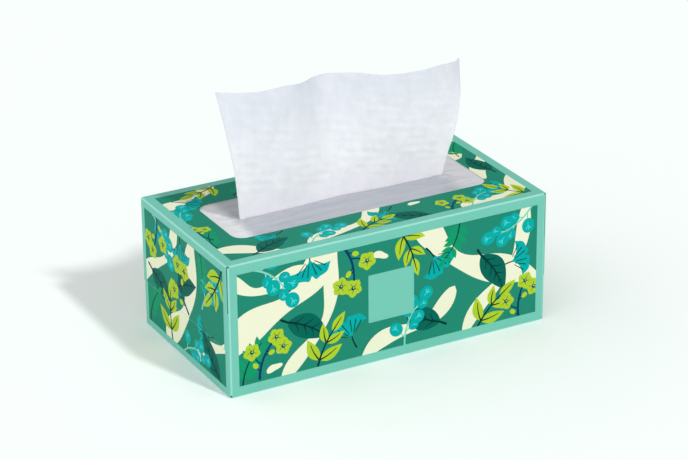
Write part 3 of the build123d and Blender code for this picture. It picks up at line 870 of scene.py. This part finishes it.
def sheet_surface(crinkle):
    """The sheet as a grid: stations down its length, and its width with both folded margins.

    Across a station, the face follows the wave from side to side. At each side the sheet goes
    round half a circle, and the rest of its width lies behind the face as a margin.
    """
    y, z, turn, u, out = (column[:, None] for column in sheet_stations().T)
    standing = u >= 0
    rise = np.clip(u, 0, 1)
    # The creases open a little on the way up and are sharp at the top edge
    roll = np.where(standing, CREASE_RADIUS + 0.35 * rise - 0.75 * rise**8, CREASE_RADIUS)
    flare = (TOP_LEFT - FOOT_LEFT) * rise
    left = FOOT_LEFT + np.where(standing, flare, (TAIL_HALF - FOOT_LEFT) * out)
    # The right crease bows inwards in its lower half and a little outwards above that
    flare = (TOP_RIGHT - FOOT_RIGHT) * rise - 1.6 * np.sin(2 * np.pi * rise) * (1 - rise)
    right = FOOT_RIGHT + np.where(standing, flare, (TAIL_HALF - FOOT_RIGHT) * out)

    def wave(x):
        """Depth of each station at x; below the slit it fades with the spread."""
        return np.where(standing, standing_wave(x, rise), (1 - out) ** 4 * slit_wave(x))

    def follow(x, offset):
        """Points at an offset to the rear of the wave, square to it, with that rear direction."""
        step = 0.5
        slope = (wave(x + step) - wave(x - step)) / (2 * step)
        size = np.hypot(1, slope)
        rear = np.stack([-slope / size, 1 / size], -1)
        return np.stack([x, wave(x)], -1) + offset[..., None] * rear, rear

    def face_length(end):
        """Length of the wave from the middle to an end, for each station."""
        share = np.linspace(0, 1, 61)[None, :]
        line = np.stack([end * share, wave(end * share)], -1)
        return np.linalg.norm(np.diff(line, axis=1), axis=-1).sum(1)[:, None]

    columns, across = [], []
    face = np.linspace(-1, 1, 121)[None, :]
    x = np.where(face < 0, face * left, face * right)
    middle, _ = follow(x, 0 * x)
    half_turn = np.radians(np.linspace(0, 180, 9)[1:])[None, :]
    inward = np.linspace(0, 1, 15)[None, 1:]
    left_length, right_length = face_length(-left), face_length(right)
    for side, end, length in ((-1, -left, left_length), (1, right, right_length)):
        margin = SHEET_WIDTH / 2 - length - np.pi * roll
        ends, rear = follow(end, roll)
        beside = side * np.stack([rear[..., 1], -rear[..., 0]], -1)
        corner = ends + roll[..., None] * (
            np.sin(half_turn)[..., None] * beside - np.cos(half_turn)[..., None] * rear
        )
        behind_x = end - side * margin * inward
        loose = 2 * roll + 1.2 * rise * inward**2
        behind, _ = follow(behind_x, loose)
        fold = np.concatenate([corner, behind], 1)
        on_fold = length + roll * half_turn
        on_margin = length + np.pi * roll + margin * inward
        place = side * np.concatenate([on_fold, on_margin], 1)
        columns.append(fold if side > 0 else fold[:, ::-1])
        across.append(place if side > 0 else place[:, ::-1])
    section = np.concatenate([columns[0], middle, columns[1]], 1)
    lengths = np.where(face < 0, face * left_length, face * right_length)
    u_place = np.concatenate([across[0], lengths, across[1]], 1)

    px = section[..., 0]
    height = STAND_HEIGHT * rise
    # Crinkles of three sizes, the larger two drawn out down the sheet
    soft = (
        0.9 * soft_noise(px, 0.35 * height, 34, 3)
        + 0.5 * soft_noise(px, 0.6 * height, 15, 5)
        + 0.22 * soft_noise(px, height, 7, 8)
    )
    py = section[..., 1] + crinkle * smooth((rise - 0.02) / 0.25) * soft
    tilt = np.radians(STAND_TILT * rise)
    a = np.radians(turn)
    edge = sum(high * np.exp(-(((px - x) / half) ** 2)) for x, half, high in EDGE_RISES)
    # The margins' top edges slope down from the creases
    behind_face = np.abs(u_place) - np.where(u_place < 0, left_length, right_length)
    dip = 0.35 * np.clip(behind_face, 0, None)
    lift = (edge - dip) * rise**6 + px * np.sin(tilt) + py * np.sin(a)
    points = np.stack([px * np.cos(tilt), y + py * np.cos(a), z + lift], -1)
    # The way down the sheet is measured on one column of the face, next to its middle
    near_middle = 85
    steps = np.linalg.norm(np.diff(points[:, near_middle], axis=0), axis=1)
    down = np.concatenate([[0], np.cumsum(steps)])
    v_place = np.repeat(down[:, None], points.shape[1], 1)
    return points, np.stack([u_place, v_place], -1)


def give_uv(piece, places):
    """A UV map from one place for each point."""
    layer = piece.data.uv_layers.new(name="sheet")
    corners = np.empty(len(piece.data.loops), np.int32)
    piece.data.loops.foreach_get("vertex_index", corners)
    layer.data.foreach_set("uv", places[corners].astype(np.float32).ravel())


def tissue_material(settings, name="tissue_soft", source="UV"):
    """Soft white fibre with cloudy mottling and a fine nap, painted lighter near the slit and darker
    towards the top edge.

    The pattern is finer across the sheet than down its length.
    """
    finer_across = (2.4, 1.0, 1.0)
    shade = Shade(name, 0.95, Specular_IOR_Level=0.1)
    where = shade.place(source, finer_across)
    cloud = shade.mottle(where, 70.0, 420.0, 0.35)
    nap = shade.mottle(where, 380.0, 1600.0, 0.5)
    # Painted light and shade: lighter colours near the slit offset the shade that falls there, darker
    # ones at the top edge offset its light
    height = shade.ramp(shade.split()["Z"], HEIGHT * MM, (HEIGHT + STAND_HEIGHT) * MM)
    low = shade.mix(cloud["Mask"], settings.low_shade_painted_light, settings.low_bright_painted_light)
    high = shade.mix(cloud["Mask"], settings.shade, settings.bright)
    shade.base(shade.mix(height, low, high))
    shade.bump(nap["Height"], 0.0003, 0.5)
    return shade.material


# Film


def film_surface(pucker, lift):
    """The film as rings from the lips of the slit out to its rounded edge.

    Long puckers are cosines across the depth that fade towards the glued edge. The lips rise
    where the sheet pulls on them, and short puckers spread from both ends of the slit.
    """
    count, ends = 150, 24
    front_lip, rear_lip = -0.45, 1.95
    x = np.linspace(-FOOT_LEFT, FOOT_RIGHT, count)
    front = np.stack([x, slit_wave(x) + front_lip], 1)
    rear = np.stack([x, slit_wave(x) + rear_lip], 1)[::-1]
    a = np.linspace(-np.pi / 2, np.pi / 2, ends + 2)[1:-1]
    half = (rear_lip - front_lip) / 2
    loops = []
    for end_x, angle in ((FOOT_RIGHT, a), (-FOOT_LEFT, a + np.pi)):
        middle = float(slit_wave(np.array([end_x]))[0]) + front_lip + half
        loops.append(np.stack([end_x + half * np.cos(angle), middle + half * np.sin(angle)], 1))
    inner = np.concatenate([front, loops[0], rear, loops[1]])
    long_side = np.linspace(-1, 1, count)
    short_side = np.linspace(-1, 1, ends + 2)[1:-1]
    outer = np.concatenate(
        [
            np.stack([long_side, 0 * long_side - 1], 1),
            np.stack([0 * short_side + 1, short_side], 1),
            np.stack([-long_side, 0 * long_side + 1], 1),
            np.stack([0 * short_side - 1, -short_side], 1),
        ]
    ) * np.array([FILM_LENGTH / 2, FILM_WIDTH / 2])
    centre = np.array([FILM_LENGTH / 2 - FILM_CORNER, FILM_WIDTH / 2 - FILM_CORNER])
    beyond = np.abs(outer) - centre
    corner = (beyond > 0).all(1)
    arc = beyond[corner] / np.linalg.norm(beyond[corner], axis=1)[:, None] * FILM_CORNER
    outer[corner] = np.sign(outer[corner]) * (centre + arc)
    r = np.linspace(0, 1, 56)[:, None, None] ** 1.15
    flat = inner[None] * (1 - r) + outer[None] * r
    px, py = flat[..., 0], flat[..., 1]
    to_edge = np.minimum(WINDOW_LENGTH / 2 - np.abs(px), WINDOW_WIDTH / 2 - np.abs(py))
    free = smooth(to_edge / 9)
    long_wave = np.cos(2 * np.pi * py / 11.5 + 0.02 * px + 0.8 * soft_noise(px, py, 60, 21))
    long_wave = long_wave + 0.5 * np.cos(2 * np.pi * py / 5.3 - 0.03 * px + 1.0)
    off = np.abs(py - slit_wave(px) - SLIT_MIDDLE)
    along = 1 - np.clip(np.abs(px) / (FOOT_LEFT + 6), 0, 1) ** 6
    lips = lift * np.exp(-off / 5) * along
    short = 0.0
    for side, end_x in ((-1, -FOOT_LEFT), (1, FOOT_RIGHT)):
        dx, dy = px - end_x, py - SLIT_MIDDLE
        reach, angle = np.hypot(dx, dy), np.arctan2(dy, side * dx)
        short = short + np.cos(5 * angle) * np.exp(-(((reach - 7) / 8) ** 2))
    sag = 0.25
    pz = FILM_LEVEL + free * (pucker * (0.6 * long_wave + 0.9 * short) - sag + lips)
    return np.stack([px, py, pz], -1)


def film_material(settings):
    """Satin film: grey with painted shade and painted reflection streaks, paler past the slit's ends.
    """
    shade = Shade("film_satin", 0.32, Specular_IOR_Level=0.5)
    # The lighter streaks are painted reflections of the puckers; the same noise drives the bump
    streaks = shade.mottle(shade.place(scale=(0.12, 1, 1)), 90.0, 700.0, 0.4)
    x = shade.split()["X"]
    # Paler ends past the slit: partly pale sheets showing through, partly painted light against the
    # sheet's shadow
    left_fade, right_fade, right_share = 9, 8, 0.65
    left = shade.ramp(x, -(FOOT_LEFT + left_fade) * MM, -FOOT_LEFT * MM, 1.0, 0.0)
    start, end = (FOOT_RIGHT - right_fade) * MM, (FOOT_RIGHT + right_fade) * MM
    right = shade.ramp(x, start, end, 0.0, right_share)
    ends = shade.math("MAXIMUM", left, right)
    # The middle tint carries painted shade from the dim space under the film
    middle = shade.mix(streaks["Mask"], settings.shaded_tint, settings.reflection_streak)
    shade.base(shade.mix(ends, middle, settings.pale))
    shade.bump(streaks["Height"], 0.0004, 0.35)
    return shade.material


# Stage


def towards(azimuth, elevation):
    """Unit vector from the box to a lamp or camera; azimuth 0 is in front."""
    flat = np.cos(elevation)
    return Vector((np.sin(azimuth) * flat, -np.cos(azimuth) * flat, np.sin(elevation)))


# Operators


class TISSUEBOX_OT_carton(bpy.types.Operator):
    """Gives the folded carton its coated board."""

    bl_idname = "tissuebox.carton"
    bl_label = "Finish the carton"

    def execute(self, context):
        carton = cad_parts["carton"]
        carton.data.materials.clear()
        carton.data.materials.append(board_material(context.scene.tissuebox_carton))
        return {"FINISHED"}


class TISSUEBOX_OT_print(bpy.types.Operator):
    """Lays the leaf print on the panels, one piece for each ink."""

    bl_idname = "tissuebox.print"
    bl_label = "Lay the print"

    def execute(self, context):
        settings = context.scene.tissuebox_print
        for name, (points, faces) in print_panels(settings).items():
            if not points:
                raise RuntimeError(f"no field of ink {name}")
            piece = new_piece("ink_" + name, np.concatenate(points), np.concatenate(faces), False)
            node, leads = INKS[name]
            material = ink_material(name, getattr(settings, name))
            finish_piece(piece, material, node, *([node] if leads else []))
        return {"FINISHED"}


class TISSUEBOX_OT_film(bpy.types.Operator):
    """Glues the puckered film under the window."""

    bl_idname = "tissuebox.film"
    bl_label = "Fit the film"

    def execute(self, context):
        settings = context.scene.tissuebox_film
        points = film_surface(settings.pucker / MM, settings.lift / MM)
        rows, columns = points.shape[:2]
        faces = grid_faces(rows, columns, True)[:, ::-1]
        piece = new_piece("film_puckered", points.reshape(-1, 3), faces)
        give_thickness(piece, settings.thickness)
        finish_piece(piece, film_material(settings), "film", "film_window")
        return {"FINISHED"}


class TISSUEBOX_OT_sheet(bpy.types.Operator):
    """Stands the top sheet in the slit, with its margins folded back and its tail inside."""

    bl_idname = "tissuebox.sheet"
    bl_label = "Stand the sheet"

    def execute(self, context):
        settings = context.scene.tissuebox_sheet
        points, places = sheet_surface(settings.crinkle / MM)
        rows, columns = points.shape[:2]
        piece = new_piece("standing_sheet", points.reshape(-1, 3), grid_faces(rows, columns))
        give_uv(piece, places.reshape(-1, 2) * MM)
        give_thickness(piece, settings.thickness)
        finish_piece(piece, tissue_material(settings), "tissue", "popup_tissue")
        return {"FINISHED"}


class TISSUEBOX_OT_clip(bpy.types.Operator):
    """Gives the clip of folded sheets its soft white fibre."""

    bl_idname = "tissuebox.clip"
    bl_label = "Finish the clip"

    def execute(self, context):
        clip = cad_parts["tissue_clip"]
        clip.data.materials.clear()
        # The clip lies under the top, so it takes the lighter colours painted near the slit
        clip.data.materials.append(
            tissue_material(context.scene.tissuebox_sheet, "tissue_clip_soft", "Object")
        )
        return {"FINISHED"}


class TISSUEBOX_OT_stage(bpy.types.Operator):
    """Sets the floor, the light and the camera."""

    bl_idname = "tissuebox.stage"
    bl_label = "Set the stage"

    def execute(self, context):
        settings = context.scene.tissuebox_stage
        half = settings.floor_side / 2 / MM
        corners = [(-half, -half, 0), (half, -half, 0), (half, half, 0), (-half, half, 0)]
        floor = new_piece("floor", corners, [(0, 1, 2, 3)])
        shade = Shade("floor_pale", 0.9, Specular_IOR_Level=0.1)
        shade.base(settings.floor)
        floor.data.materials.append(shade.material)

        world = bpy.data.worlds.new("studio")
        world.use_nodes = True
        nodes, links = world.node_tree.nodes, world.node_tree.links
        sky = next(n for n in nodes if n.type == "BACKGROUND")
        sky.inputs["Color"].default_value = (1, 1, 1, 1)
        heading = nodes.new("ShaderNodeSeparateXYZ")
        links.new(nodes.new("ShaderNodeTexCoord").outputs["Generated"], heading.inputs[0])
        slope = nodes.new("ShaderNodeMath")
        slope.operation = "MULTIPLY_ADD"
        slope.inputs[1].default_value = -settings.sky * settings.side
        slope.inputs[2].default_value = settings.sky
        links.new(heading.outputs["X"], slope.inputs[0])
        links.new(slope.outputs["Value"], sky.inputs["Strength"])
        context.scene.world = world
        context.scene.view_settings.view_transform = "Standard"

        key = bpy.data.lights.new("key", "SUN")
        key.angle = settings.key_size
        key.energy = settings.key
        lamp = bpy.data.objects.new("key", key)
        above = towards(settings.key_azimuth, settings.key_elevation)
        lamp.location = above * settings.reach
        lamp.rotation_euler = above.to_track_quat("Z", "Y").to_euler()
        context.scene.collection.objects.link(lamp)

        camera = bpy.data.cameras.new("camera")
        camera.sensor_fit = "HORIZONTAL"
        camera.sensor_width = 36.0
        camera.lens = settings.lens
        camera.clip_start, camera.clip_end = 0.05, 50.0
        roll = settings.roll
        back = towards(settings.azimuth, settings.elevation)
        level = Vector((np.cos(settings.azimuth), np.sin(settings.azimuth), 0))
        upward = back.cross(level)
        right = level * np.cos(roll) + upward * np.sin(roll)
        up = upward * np.cos(roll) - level * np.sin(roll)
        place = Vector((0, 0, settings.target)) + back * settings.reach
        place += right * settings.shift_right + up * settings.shift_up
        eye = bpy.data.objects.new("camera", camera)
        axes = Matrix((right, up, back)).transposed()
        eye.matrix_world = Matrix.Translation(place) @ axes.to_4x4()
        context.scene.collection.objects.link(eye)
        context.scene.camera = eye
        return {"FINISHED"}


class TISSUEBOX_PT_looks(bpy.types.Panel):
    """Lists the pieces of the tissue box and their settings."""

    bl_label = "Tissue box"
    bl_idname = "TISSUEBOX_PT_looks"
    bl_space_type = "VIEW_3D"
    bl_region_type = "UI"
    bl_category = "Tissue box"

    def draw(self, context):
        for name in PIECES:
            self.layout.operator("tissuebox." + name)
            settings = getattr(context.scene, "tissuebox_" + name, None)
            if settings is None:
                continue
            column = self.layout.column(align=True)
            for label in settings.__annotations__:
                column.prop(settings, label)


PIECES = ("stage", "carton", "print", "clip", "film", "sheet")
SETTINGS = {
    "tissuebox_carton": TissueBoxCarton,
    "tissuebox_print": TissueBoxPrint,
    "tissuebox_film": TissueBoxFilm,
    "tissuebox_sheet": TissueBoxSheet,
    "tissuebox_stage": TissueBoxStage,
}
CLASSES = (
    *SETTINGS.values(),
    TISSUEBOX_OT_carton,
    TISSUEBOX_OT_print,
    TISSUEBOX_OT_film,
    TISSUEBOX_OT_sheet,
    TISSUEBOX_OT_clip,
    TISSUEBOX_OT_stage,
    TISSUEBOX_PT_looks,
)


def register():
    """Registers the classes and puts the settings on the scene."""
    for item in CLASSES:
        bpy.utils.register_class(item)
    for name, item in SETTINGS.items():
        setattr(bpy.types.Scene, name, PointerProperty(type=item))


def unregister():
    """Takes the settings and the classes away again."""
    for name in SETTINGS:
        delattr(bpy.types.Scene, name)
    for item in reversed(CLASSES):
        bpy.utils.unregister_class(item)


def main():
    register()
    for name in PIECES:
        getattr(bpy.ops.tissuebox, name)()


if __name__ == "__main__":
    main()
